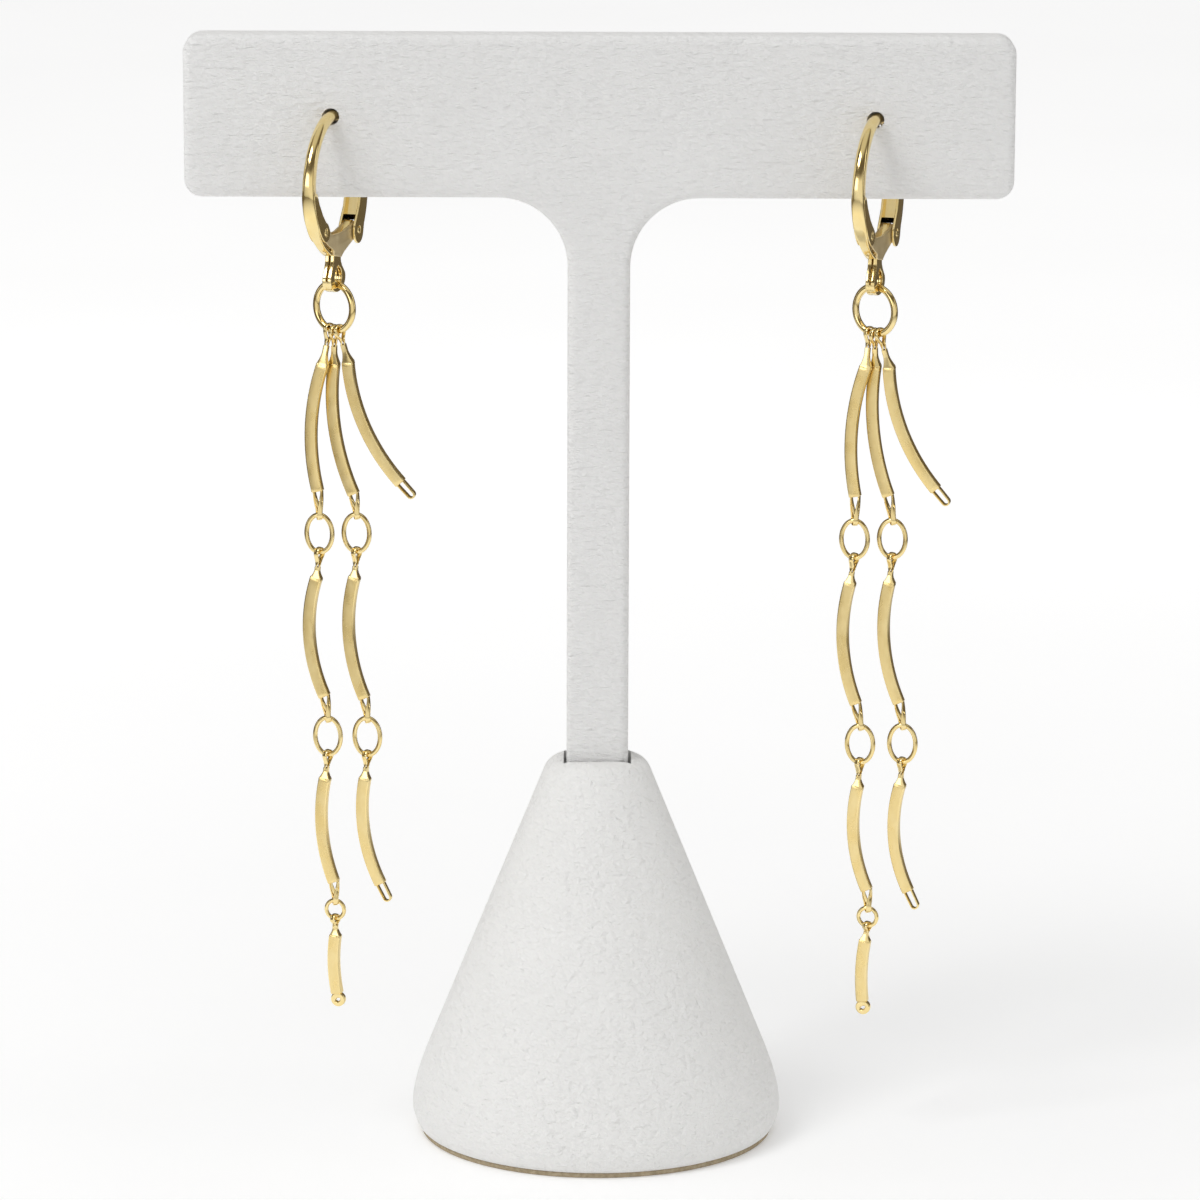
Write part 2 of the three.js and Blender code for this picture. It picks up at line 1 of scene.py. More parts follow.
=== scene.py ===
# A pair of gold dangle earrings on a white T-bar display stand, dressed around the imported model.
# Metres, +Z up, the stand faces -Y. Drawn sizes are in millimetres and multiplied by MM.

import math

import bmesh
import bpy
from mathutils import Matrix, Vector

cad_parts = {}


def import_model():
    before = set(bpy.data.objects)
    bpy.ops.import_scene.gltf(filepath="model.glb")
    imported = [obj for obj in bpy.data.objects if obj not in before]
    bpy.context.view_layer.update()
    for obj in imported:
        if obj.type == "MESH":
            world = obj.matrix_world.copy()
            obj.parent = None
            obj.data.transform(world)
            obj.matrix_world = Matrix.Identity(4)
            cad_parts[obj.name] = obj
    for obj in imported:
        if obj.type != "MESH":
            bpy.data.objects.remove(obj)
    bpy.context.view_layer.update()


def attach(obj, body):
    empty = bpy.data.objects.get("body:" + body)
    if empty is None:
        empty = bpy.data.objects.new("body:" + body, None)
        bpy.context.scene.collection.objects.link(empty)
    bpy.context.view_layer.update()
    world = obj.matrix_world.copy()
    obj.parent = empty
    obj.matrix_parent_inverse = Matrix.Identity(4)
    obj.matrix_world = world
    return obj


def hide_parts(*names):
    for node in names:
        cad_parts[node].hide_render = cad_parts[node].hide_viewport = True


MM = 0.001

# Board and foot. FOOT_HEEL is how far above its widest ring the foot's rounding starts.
BAR_WIDTH = 83.3
BAR_TOP = 113.9
BAR_BOTTOM = 97.55
BOARD_THICK = 5.0
BAR_CORNER = 1.8
STEM_WIDTH = 6.3
STEM_FILLET = 7.0
BOARD_EDGE = 0.9
STEM_FOOT = 25.9
EAR_HOLE = 1.7
FOOT_TOP = 39.6
FOOT_TOP_RADIUS = 5.6
FOOT_TOP_ROUND = 2.0
FOOT_WIDE_RADIUS = 19.2
FOOT_WIDE_Z = 4.3
FOOT_UNDER_RADIUS = 18.0
FOOT_HEEL = 4.0
PAD_THICK = 0.5
PAD_RADIUS = 18.1
SOCKET_DEPTH = 14.0
SEAT_GAP = 0.3

# Hoops
HOOP_TURN = math.radians(17)
HOOP_RADIUS = 7.4
HOOP_Y = -1.7
# Hook from its lower end over the top to its tip, in columns: angle in degrees above the front,
# outer radius, half thickness, half width, and 1 for a round section down to 0.4 for a square one
HOOK = [
    (-77, 6.85, 0.17, 0.48, 0.4),
    (-65, 6.72, 0.18, 0.46, 0.4),
    (-50, 6.75, 0.19, 0.46, 0.4),
    (-40, 6.87, 0.20, 0.52, 0.4),
    (-30, 7.08, 0.24, 0.64, 0.4),
    (-22, 7.28, 0.33, 0.69, 0.4),
    (-8, 7.60, 0.52, 0.68, 0.45),
    (10, 7.92, 0.60, 0.64, 0.65),
    (30, 8.02, 0.61, 0.62, 0.9),
    (60, 8.00, 0.60, 0.60, 1.0),
    (90, 7.975, 0.575, 0.575, 1.0),
    (126, 7.975, 0.575, 0.575, 1.0),
    (144, 7.64, 0.54, 0.54, 1.0),
    (156, 7.28, 0.48, 0.48, 1.0),
    (161, 7.24, 0.46, 0.46, 1.0),
]
CLASP_OUTER = 1.4
CLASP_INNER = 1.16
SADDLE_WIDTH = 1.1
SADDLE_SLOT = 0.6
NECK_SLOT = 0.16
EYE_WIDTH = 0.95
LEVER_OUTER = 1.8
LEVER_INNER = 1.3
PIN = 0.7
PIN_HOLE = 0.9
PIN_PROUD = 0.1
RIVET_AT = (4.2, -3.85)
HINGE_AT = (-5.1, -4.85)

# Rings: width, height, wire and turn in degrees
MAIN_RING = (5.55, 5.55, 0.7, 39)
MAIN_DROP = 12.0
OVAL_RING = (3.25, 4.35, 0.48, 18)
SMALL_RING = (2.35, 2.35, 0.42, 18)

# Bar links
LINK_WIDTH = 1.2
LINK_THICK = 0.8
LINK_TURN = 20
LINK_EDGE = 0.13
STRAP = 0.2
EYE_PLAY = 0.2
EYE_REST = 0.09
EYE_SINK = 0.3
EYE_SPACING = 0.66
EYE_STEPS = 14
STEM_HALF = 0.26
SHARP_ANGLE = 35
CORNER_STEPS = 3
TOP_EYE = {"shoulder": 1.2, "stem": 1.9, "depth": 0.45}
RING_EYE = {"shoulder": 0.75, "stem": 1.1, "depth": 0.55}
# Share of the full twist to the ring's wire, and share of the eye's length over which it is made
MAIN_TWIST = (0.92, 0.6)
OVAL_TWIST = (0.8, 0.6)
LOWER_TWIST = (0.68, 1.0)
FREE_EYE = {"length": 2.0, "radius": 0.38, "depth": 0.6}
TAB = {"radius": 0.76, "thick": 0.6, "slot_long": 0.3, "slot_wide": 0.17, "slot_lean": 35}

# Strands, in columns: bar, x and z of its head and foot, bow to the left, y of head and foot
# behind the hoop's middle, what it hangs on and what its foot carries. x is from the hoop's middle.
LEFT_BARS = [
    ("a1", -1.20, 80.55, -1.78, 67.45, 1.00, 0.0, 0.0, "main", "a_ring1"),
    ("a2", -1.98, 58.55, -1.22, 46.10, 1.23, 0.0, 0.0, "a_ring1", "a_ring2"),
    ("a3", -1.23, 37.55, -0.38, 26.50, 0.85, 0.0, 0.0, "a_ring2", "a_ring3"),
    ("a4", -0.28, 20.85, -0.12, 14.65, 0.28, 0.0, 0.0, "a_ring3", "tab"),
    ("b1", -0.10, 80.50, 1.85, 67.10, 1.00, 0.8, 0.3, "main", "b_ring1"),
    ("b2", 1.88, 58.55, 2.85, 45.85, 1.15, 0.3, 0.3, "b_ring1", "b_ring2"),
    ("b3", 2.85, 37.50, 4.40, 26.25, 1.00, 0.3, 0.3, "b_ring2", "free"),
    ("c1", 1.35, 80.80, 6.65, 68.35, 1.25, 0.0, 0.0, "main", "free"),
]
RIGHT_BARS = [
    ("a1", -0.85, 80.50, -1.75, 67.10, 0.95, 0.0, 0.0, "main", "a_ring1"),
    ("a2", -2.15, 58.20, -1.40, 45.50, 1.10, 0.0, 0.0, "a_ring1", "a_ring2"),
    ("a3", -1.10, 36.90, -0.03, 25.85, 0.95, 0.0, 0.0, "a_ring2", "a_ring3"),
    ("a4", -0.15, 20.50, -0.35, 14.00, 0.25, 0.0, 0.0, "a_ring3", "tab"),
    ("b1", 0.15, 80.45, 1.65, 67.10, 0.90, 0.8, 0.3, "main", "b_ring1"),
    ("b2", 1.87, 58.20, 3.02, 45.55, 1.10, 0.3, 0.3, "b_ring1", "b_ring2"),
    ("b3", 3.25, 37.00, 4.25, 25.65, 1.10, 0.3, 0.3, "b_ring2", "free"),
    ("c1", 1.50, 80.45, 6.45, 67.85, 1.20, 0.0, 0.0, "main", "free"),
]
# Rings between the bars, in columns: ring, kind, x, z, y behind the hoop's middle
LEFT_RINGS = [
    ("a_ring1", "oval", -1.66, 63.10, 0.0),
    ("a_ring2", "oval", -0.93, 41.95, 0.0),
    ("a_ring3", "small", -0.29, 23.60, 0.0),
    ("b_ring1", "oval", 2.10, 63.10, 0.3),
    ("b_ring2", "oval", 3.09, 41.85, 0.3),
]
RIGHT_RINGS = [
    ("a_ring1", "oval", -1.78, 62.70, 0.0),
    ("a_ring2", "oval", -0.95, 41.30, 0.0),
    ("a_ring3", "small", 0.06, 23.00, 0.0),
    ("b_ring1", "oval", 2.08, 62.70, 0.3),
    ("b_ring2", "oval", 3.40, 41.30, 0.3),
]
EARRINGS = [
    {"name": "left", "x": -26.65, "z": 98.4, "bars": LEFT_BARS, "rings": LEFT_RINGS},
    {"name": "right", "x": 27.85, "z": 98.25, "bars": RIGHT_BARS, "rings": RIGHT_RINGS},
]
ROOT = "stand_and_strands"

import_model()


# Small helpers

def lerp(a, b, share):
    return a + (b - a) * share


def smooth(value, low, high):
    share = min(1.0, max(0.0, (value - low) / (high - low)))
    return share * share * (3 - 2 * share)


def soften(value, power):
    return math.copysign(abs(value) ** power, value)


def arc(x, y, radius, start, stop, steps):
    angles = [math.radians(lerp(start, stop, i / steps)) for i in range(steps + 1)]
    return [(x + radius * math.cos(a), y + radius * math.sin(a)) for a in angles]


# A point on the curve from one point to another that bends towards a corner
def bent(start, corner, stop, t):
    point = start * (1 - t) ** 2 + corner * 2 * t * (1 - t) + stop * t * t
    return (point.x, point.y)


# Materials

def new_material(name):
    material = bpy.data.materials.new(name)
    material.use_nodes = True
    tree = material.node_tree
    shader = tree.nodes["Principled BSDF"]
    return material, tree, shader


def add_node(tree, kind, settings=None, **inputs):
    node = tree.nodes.new(kind)
    for key, value in (settings or {}).items():
        setattr(node, key, value)
    for key, value in inputs.items():
        node.inputs[key.replace("_", " ")].default_value = value
    return node


def stretched(tree, scale):
    place = add_node(tree, "ShaderNodeTexCoord")
    mapping = add_node(tree, "ShaderNodeMapping", Scale=scale)
    tree.links.new(place.outputs["Object"], mapping.inputs["Vector"])
    return mapping.outputs["Vector"]


def noise(tree, scale, detail=3.0, rough=0.5):
    node = add_node(tree, "ShaderNodeTexNoise", Scale=1.0, Detail=detail, Roughness=rough)
    tree.links.new(stretched(tree, scale), node.inputs["Vector"])
    return node.outputs["Fac"]


def ramp(tree, source, low, high, from_low=0.3, from_high=0.7):
    node = add_node(tree, "ShaderNodeMapRange", From_Min=from_low, From_Max=from_high,
                    To_Min=low, To_Max=high)
    tree.links.new(source, node.inputs["Value"])
    return node.outputs["Result"]


def tint(tree, source, first, second, low=0.3, high=0.7):
    node = add_node(tree, "ShaderNodeValToRGB")
    node.color_ramp.elements[0].position = low
    node.color_ramp.elements[0].color = (*first, 1)
    node.color_ramp.elements[1].position = high
    node.color_ramp.elements[1].color = (*second, 1)
    tree.links.new(source, node.inputs["Fac"])
    return node.outputs["Color"]


def bump(tree, height, distance, under=None):
    node = add_node(tree, "ShaderNodeBump", Strength=1.0, Distance=distance)
    tree.links.new(height, node.inputs["Height"])
    if under is not None:
        tree.links.new(under, node.inputs["Normal"])
    return node.outputs["Normal"]


def gold(name, first, second, rough_low, rough_high, scratch_scale, scratch_depth):
    material, tree, shader = new_material(name)
    shader.inputs["Metallic"].default_value = 1.0
    cloud = noise(tree, (900, 900, 500), detail=4)
    tree.links.new(tint(tree, cloud, first, second), shader.inputs["Base Color"])
    tree.links.new(ramp(tree, cloud, rough_low, rough_high), shader.inputs["Roughness"])
    scratch = noise(tree, scratch_scale, detail=2)
    tree.links.new(bump(tree, scratch, scratch_depth), shader.inputs["Normal"])
    return material


PEBBLE = 900


def leatherette(name, first, second, grain_scale, grain_depth, pebble_depth):
    material, tree, shader = new_material(name)
    shader.inputs["Specular IOR Level"].default_value = 0.3
    shader.inputs["Sheen Weight"].default_value = 0.05
    cloud = noise(tree, (90, 90, 90), detail=3)
    tree.links.new(tint(tree, cloud, first, second), shader.inputs["Base Color"])
    grain = noise(tree, grain_scale, detail=5, rough=0.6)
    tree.links.new(ramp(tree, grain, 0.48, 0.62), shader.inputs["Roughness"])
    fine = bump(tree, grain, grain_depth)
    pebbles = noise(tree, (PEBBLE, PEBBLE, PEBBLE), detail=1.5)
    tree.links.new(bump(tree, pebbles, pebble_depth, under=fine), shader.inputs["Normal"])
    return material


def board_edge(name):
    material, tree, shader = new_material(name)
    shader.inputs["Specular IOR Level"].default_value = 0.2
    fibre = noise(tree, (2500, 2500, 2500), detail=5)
    colour = tint(tree, fibre, (0.30, 0.24, 0.15), (0.46, 0.38, 0.26))
    tree.links.new(colour, shader.inputs["Base Color"])
    tree.links.new(ramp(tree, fibre, 0.8, 0.95), shader.inputs["Roughness"])
    tree.links.new(bump(tree, fibre, 0.00003), shader.inputs["Normal"])
    return material


POLISHED = gold("gold_polished", (0.92, 0.72, 0.32), (0.96, 0.79, 0.41), 0.09, 0.16,
                (2600, 2600, 700), 0.0000006)
SATIN = gold("gold_satin", (0.86, 0.66, 0.28), (0.94, 0.76, 0.38), 0.24, 0.34,
             (6500, 6500, 300), 0.0000008)
STAMPED = gold("gold_stamped", (0.86, 0.72, 0.44), (0.92, 0.79, 0.52), 0.48, 0.58,
               (4000, 4000, 4000), 0.000003)
BOARD_SKIN = leatherette("board_leatherette", (0.875, 0.87, 0.86), (0.895, 0.89, 0.88),
                         (1000, 1000, 2600), 0.0006, 0.00008)
FOOT_SKIN = leatherette("foot_leatherette", (0.87, 0.865, 0.85), (0.89, 0.885, 0.87),
                        (1400, 1400, 1900), 0.0005, 0.0002)
GREYBOARD = board_edge("greyboard_edge")


# Mesh building: rings of points in millimetres become closed shells

class Shells:
    def __init__(self):
        self.points = []
        self.faces = []
        self.slots = []

    def add(self, points, faces, slot=0):
        start = len(self.points)
        self.points += [Vector(p) for p in points]
        self.faces += [[start + i for i in face] for face in faces]
        self.slots += [slot] * len(faces)

    # Rings of points joined side by side. slots gives each side of the section its own slot.
    def loft(self, rings, closed=False, slot=0, slots=None):
        count = len(rings[0])
        total = len(rings)
        points = [p for ring in rings for p in ring]
        faces = []
        for i in range(total if closed else total - 1):
            a = i * count
            b = (i + 1) % total * count
            for j in range(count):
                k = (j + 1) % count
                faces.append([a + j, a + k, b + k, b + j])
        if not closed:
            last = (total - 1) * count
            faces.append([last + j for j in range(count)])
            faces.append([j for j in reversed(range(count))])
        first = len(self.slots)
        self.add(points, faces, slot)
        if slots is not None:
            sides = len(faces) - (0 if closed else 2)
            self.slots[first:first + sides] = [slots[i % count] for i in range(sides)]

    def take(self, mesh, slot=0):
        points = [v.co / MM for v in mesh.vertices]
        self.add(points, [list(p.vertices) for p in mesh.polygons], slot)

    def build(self, name, materials, matrix=None):
        mesh = bpy.data.meshes.new(name)
        place = matrix or Matrix.Identity(4)
        mesh.from_pydata([place @ p * MM for p in self.points], [], self.faces)
        for material in materials:
            mesh.materials.append(material)
        for polygon, slot in zip(mesh.polygons, self.slots):
            polygon.material_index = min(slot, len(materials) - 1)
        work = bmesh.new()
        work.from_mesh(mesh)
        bmesh.ops.remove_doubles(work, verts=work.verts, dist=0.000001)
        bmesh.ops.recalc_face_normals(work, faces=work.faces)
        work.to_mesh(mesh)
        work.free()
        mesh.shade_smooth()
        mesh.set_sharp_from_angle(angle=math.radians(SHARP_ANGLE))
        piece = bpy.data.objects.new(name, mesh)
        bpy.context.collection.objects.link(piece)
        return piece


def flat_plate(outline, thick, edge, holes=(), rounding=2):
    curve = bpy.data.curves.new("plate", "CURVE")
    curve.dimensions = "2D"
    curve.fill_mode = "BOTH"
    curve.extrude = (thick / 2 - edge) * MM
    curve.bevel_depth = edge * MM
    curve.bevel_resolution = rounding
    curve.offset = -edge * MM
    for loop in (outline, *holes):
        spline = curve.splines.new("POLY")
        spline.points.add(len(loop) - 1)
        for point, (x, y) in zip(spline.points, loop):
            point.co = (x * MM, y * MM, 0, 1)
        spline.use_cyclic_u = True
    scratch = bpy.data.objects.new("plate", curve)
    bpy.context.collection.objects.link(scratch)
    bpy.context.view_layer.update()
    mesh = bpy.data.meshes.new_from_object(scratch.evaluated_get(bpy.context.evaluated_depsgraph_get()))
    bpy.data.objects.remove(scratch)
    return mesh


def moved(mesh, offset):
    for vertex in mesh.vertices:
        vertex.co += Vector(offset) * MM
    return mesh


def cut_away(piece, tools):
    for tool in tools:
        cutter = piece.modifiers.new("cut", "BOOLEAN")
        cutter.operation = "DIFFERENCE"
        cutter.solver = "EXACT"
        cutter.object = tool
    bpy.context.view_layer.update()
    mesh = bpy.data.meshes.new_from_object(piece.evaluated_get(bpy.context.evaluated_depsgraph_get()))
    piece.modifiers.clear()
    piece.data = mesh
    mesh.shade_smooth()
    mesh.set_sharp_from_angle(angle=math.radians(SHARP_ANGLE))
    for tool in tools:
        bpy.data.objects.remove(tool)


def stands_for(piece, node, body):
    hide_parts(node)
    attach(piece, body)


# Stand

def board_outline():
    w = BAR_WIDTH / 2
    s = STEM_WIDTH / 2
    r = BAR_CORNER
    f = STEM_FILLET
    outline = [(-s, STEM_FOOT), (s, STEM_FOOT)]
    outline += arc(s + f, BAR_BOTTOM - f, f, 180, 90, 16)
    outline += arc(w - r, BAR_BOTTOM + r, r, -90, 0, 8)
    outline += arc(w - r, BAR_TOP - r, r, 0, 90, 8)
    outline += arc(r - w, BAR_TOP - r, r, 90, 180, 8)
    outline += arc(r - w, BAR_BOTTOM + r, r, 180, 270, 8)
    outline += arc(-s - f, BAR_BOTTOM - f, f, 90, 0, 16)
    return outline


def channel_tool(earring):
    shells = Shells()
    rings = []
    for i in range(64):
        a = 2 * math.pi * i / 64
        ring = []
        for j in range(16):
            b = 2 * math.pi * j / 16
            r = HOOP_RADIUS + EAR_HOLE / 2 * math.cos(b)
            ring.append((r * math.cos(a), r * math.sin(a), EAR_HOLE / 2 * math.sin(b)))
        rings.append(ring)
    shells.loft(rings, closed=True)
    return shells.build("channel_tool", [BOARD_SKIN], hoop_frame(earring))


def board():
    shells = Shells()
    shells.take(flat_plate(board_outline(), BOARD_THICK, BOARD_EDGE, rounding=5))
    upright = Matrix.Rotation(math.radians(90), 4, "X")
    piece = shells.build("stand_tbar_wrapped", [BOARD_SKIN], upright)
    cut_away(piece, [channel_tool(earring) for earring in EARRINGS])
    stands_for(piece, "stand_tbar", ROOT)


def turned(shells, profile, sides):
    rings = []
    for radius, z in profile:
        ring = []
        for j in range(sides):
            a = 2 * math.pi * j / sides
            ring.append((radius * math.cos(a), radius * math.sin(a), z))
        rings.append(ring)
    shells.loft(rings)


def foot():
    slope = math.degrees(math.atan2(FOOT_WIDE_RADIUS - FOOT_TOP_RADIUS, FOOT_TOP - FOOT_WIDE_Z))
    bulge = FOOT_WIDE_RADIUS - FOOT_UNDER_RADIUS
    reach = FOOT_WIDE_Z - PAD_THICK
    profile = [(FOOT_UNDER_RADIUS * share, PAD_THICK) for share in (0.2, 0.6, 0.9)]
    for x, y in arc(0, 0, 1, -90, -30, 10):
        profile.append((FOOT_UNDER_RADIUS + bulge * x, FOOT_WIDE_Z + reach * y))
    low = Vector(profile[-1])
    lean = math.tan(math.radians(slope))
    high = Vector((FOOT_WIDE_RADIUS - FOOT_HEEL * lean, FOOT_WIDE_Z + FOOT_HEEL))
    corner = Vector((FOOT_WIDE_RADIUS, FOOT_WIDE_Z))
    profile += [bent(low, corner, high, i / 12) for i in range(1, 13)]
    round_x = FOOT_TOP_RADIUS - FOOT_TOP_ROUND
    round_z = FOOT_TOP - FOOT_TOP_ROUND
    top = arc(round_x, round_z, FOOT_TOP_ROUND, slope, 90, 10)
    start = profile[-1]
    for i in range(1, 24):
        profile.append((lerp(start[0], top[0][0], i / 24), lerp(start[1], top[0][1], i / 24)))
    profile += top
    profile.append((round_x * 0.4, FOOT_TOP))
    shells = Shells()
    turned(shells, profile, 128)
    piece = shells.build("stand_foot_wrapped", [FOOT_SKIN])
    w = STEM_WIDTH / 2 + SEAT_GAP
    d = BOARD_THICK / 2 + SEAT_GAP
    pocket = Shells()
    outline = [(-w, -d), (w, -d), (w, d), (-w, d)]
    pocket.loft([[(x, y, z) for x, y in outline] for z in (FOOT_TOP - SOCKET_DEPTH, FOOT_TOP + 4)])
    cut_away(piece, [pocket.build("pocket_tool", [FOOT_SKIN])])
    stands_for(piece, "stand_foot", ROOT)


def pad():
    shells = Shells()
    r = PAD_RADIUS
    turned(shells, [(r * 0.5, 0), (r - 0.08, 0), (r, 0.08), (r, PAD_THICK - 0.08), (r - 0.08, PAD_THICK),
                    (r * 0.5, PAD_THICK)], 128)
    piece = shells.build("stand_pad_board", [GREYBOARD])
    stands_for(piece, "stand_pad", ROOT)


# Ear fittings, drawn in the hoop's plane: x to the front, y up, z to the far side

def hoop_frame(earring):
    front = Vector((-math.sin(HOOP_TURN), -math.cos(HOOP_TURN), 0))
    up = Vector((0, 0, 1))
    side = front.cross(up)
    matrix = Matrix((front, up, side)).transposed().to_4x4()
    matrix.translation = Vector((earring["x"], HOOP_Y, earring["z"]))
    return matrix


def hook_row(degrees):
    after = next((i for i, row in enumerate(HOOK) if i and row[0] >= degrees), len(HOOK) - 1)
    low, high = HOOK[after - 1], HOOK[after]
    share = (degrees - low[0]) / (high[0] - low[0])
    return [lerp(a, b, share) for a, b in zip(low, high)]


# The table's rows, eased into each other
def hook_at(degrees):
    near = [min(HOOK[-1][0], max(HOOK[0][0], degrees + step)) for step in (-6, -3, 0, 3, 6)]
    rows = [hook_row(angle) for angle in near]
    return [sum(column) / len(rows) for column in zip(*rows)]


def hook_wire(shells):
    start = HOOK[0][0]
    stop = HOOK[-1][0]
    steps = 120
    rings = []
    for i in range(steps + 1):
        degrees = lerp(start, stop, i / steps)
        a = math.radians(degrees)
        _, outer, thick, wide, square = hook_at(degrees)
        tip = max(0.0, degrees - stop + 4) / 4.1
        heel = max(0.0, start + 3 - degrees) / 3.1
        end = math.sqrt(1 - max(tip, heel) ** 2)
        ring = []
        for j in range(32):
            b = 2 * math.pi * (j + 0.5) / 32
            r = outer - thick + thick * end * soften(math.cos(b), square)
            ring.append((r * math.cos(a), r * math.sin(a), wide * end * soften(math.sin(b), square)))
        rings.append(ring)
    shells.loft(rings)


def clasp_outline():
    return rounded([
        (5.28, -4.3), (5.95, -3.55), (6.55, -2.65), (7.05, -1.65), (7.4, -0.6), (7.5, 0.4),
        (6.75, 0.5), (6.1, -0.7), (5.0, -2.05), (4.2, -2.75), (3.5, -3.2), (3.05, -3.7),
        (3.0, -4.2), (3.35, -4.65), (3.9, -4.85), (4.5, -4.82),
    ], 0.5)


def pin_hole(at):
    return arc(*at, PIN_HOLE / 2, 0, 345, 23)


def ear_hook(earring):
    shells = Shells()
    hook_wire(shells)
    wall = (CLASP_OUTER - CLASP_INNER) / 2
    for side in (1, -1):
        cheek = flat_plate(clasp_outline(), wall, 0.05, [pin_hole(RIVET_AT)])
        shells.take(moved(cheek, (0, 0, side * (CLASP_OUTER - wall) / 2)))
    return shells.build(f"{earring['name']}_ear_hook_polished", [POLISHED], hoop_frame(earring))


def rounded(outline, radius, steps=5):
    result = []
    count = len(outline)
    for i, corner in enumerate(outline):
        here = Vector(corner)
        back = Vector(outline[i - 1]) - here
        ahead = Vector(outline[(i + 1) % count]) - here
        turn = back.angle(-ahead) if back.length > 1e-6 and ahead.length > 1e-6 else 0
        if turn < math.radians(12):
            result.append(corner)
            continue
        reach = min(radius, back.length * 0.45, ahead.length * 0.45)
        a = here + back.normalized() * reach
        b = here + ahead.normalized() * reach
        result += [bent(a, here, b, j / steps) for j in range(steps + 1)]
    return result


# The saddle is a folded sheet: two cheeks, a rear fold between them, and a neck of two layers
# that ends in the eye
def saddle_cheek():
    outline = [(5.5, -3.2), (4.9, -4.0), (3.9, -4.85), (2.9, -5.4), (1.9, -5.85), (1.35, -6.15)]
    outline += [(1.34, -6.6), (-0.85, -7.0), (-0.95, -6.85), (-1.8, -6.5), (-4.3, -5.75)]
    outline += arc(*HINGE_AT, 0.95, -80, -270, 22)
    outline += [(-3.8, -4.05), (-1.15, -4.5), (2.2, -4.4), (3.2, -3.0), (4.6, -2.75)]
    return rounded(outline, 0.5)


def saddle_neck():
    outline = [(1.25, -5.9), (1.35, -7.1), (1.75, -8.0)]
    outline += [(0.1 + 2.2 * x, -9.1 + 1.32 * y) for x, y in arc(0, 0, 1, 22, -200, 34)]
    outline += [(-1.15, -7.9), (-0.68, -7.25), (-0.9, -6.5), (-0.8, -5.9)]
    return rounded(outline, 0.3)


def saddle_eye():
    return arc(0.05, -8.96, 1.08, 108, 425, 36) + arc(0.12, -8.15, 0.4, -5, 185, 16)[1:-1]


def saddle_tongue():
    rim = [(0.1 + 2.16 * x, -9.1 + 1.29 * y) for x, y in arc(0, 0, 1, 0, -180, 30)]
    return rim + arc(0.05, -8.96, 1.1, -175, -5, 20)


def saddle_fold():
    return rounded([
        (-4.95, -3.8), (-4.3, -3.75), (-3.0, -4.6), (-1.9, -5.6), (-1.6, -6.3),
        (-2.35, -6.25), (-2.8, -5.7), (-3.7, -4.8), (-4.6, -4.2),
    ], 0.3)


def saddle(earring):
    shells = Shells()
    cheek_wall = (SADDLE_WIDTH - SADDLE_SLOT) / 2
    neck_wall = (EYE_WIDTH - NECK_SLOT) / 2
    for side in (1, -1):
        cheek = flat_plate(saddle_cheek(), cheek_wall, 0.06, [pin_hole(RIVET_AT), pin_hole(HINGE_AT)])
        shells.take(moved(cheek, (0, 0, side * (SADDLE_WIDTH - cheek_wall) / 2)), 0)
        neck = flat_plate(saddle_neck(), neck_wall, 0.07, [saddle_eye()], rounding=3)
        shells.take(moved(neck, (0, 0, side * (EYE_WIDTH - neck_wall) / 2)), 1)
    shells.take(flat_plate(saddle_tongue(), EYE_WIDTH * 0.6, 0.12), 1)
    shells.take(flat_plate(saddle_fold(), SADDLE_SLOT + 0.1, 0.04), 1)
    return shells.build(f"{earring['name']}_saddle_stamped", [STAMPED, POLISHED], hoop_frame(earring))


# The lever is a channel: two flanges, a web behind and a shorter, recessed one in front
def lever(earring):
    inner = 5.75
    outer = 7.95
    thick = 0.35
    recess = 0.45
    shells = Shells()
    outline = arc(0, 0, outer, 153, 213, 30)
    outline += arc(*HINGE_AT, 1.35, 200, 400, 26)
    outline += arc(0, 0, inner, 206, 153, 28)
    wall = (LEVER_OUTER - LEVER_INNER) / 2
    for side in (1, -1):
        flange = flat_plate(rounded(outline, 0.25), wall, 0.07, [pin_hole(HINGE_AT)])
        shells.take(moved(flange, (0, 0, side * (LEVER_OUTER - wall) / 2)))
    rear = arc(0, 0, outer - 0.01, 153.4, 211, 30) + arc(0, 0, outer - thick, 212, 153.4, 30)
    front = arc(0, 0, inner + recess + thick, 178, 210.3, 20)
    front += arc(0, 0, inner + recess, 212.2, 178, 20)
    for web in (rear, front):
        shells.take(flat_plate(web, LEVER_INNER + wall, 0.06))
    return shells.build(f"{earring['name']}_lever_polished", [POLISHED], hoop_frame(earring))


def pin(earring, name, at, length):
    shells = Shells()
    half = length / 2
    r = PIN / 2
    rings = []
    profile = [(0.08, -half), (0.24, -half + 0.02), (r - 0.04, -half + 0.08), (r, -half + 0.16)]
    profile += [(radius, -z) for radius, z in reversed(profile)]
    for radius, z in profile:
        rings.append([(*p, z) for p in arc(*at, radius, 0, 345, 23)])
    shells.loft(rings)
    return shells.build(f"{earring['name']}_{name}_domed", [POLISHED], hoop_frame(earring))


# Rings

def ring_frame(turn, place):
    a = math.radians(turn)
    across = Vector((math.cos(a), -math.sin(a), 0))
    up = Vector((0, 0, 1))
    matrix = Matrix((across, up, across.cross(up))).transposed().to_4x4()
    matrix.translation = Vector(place)
    return matrix


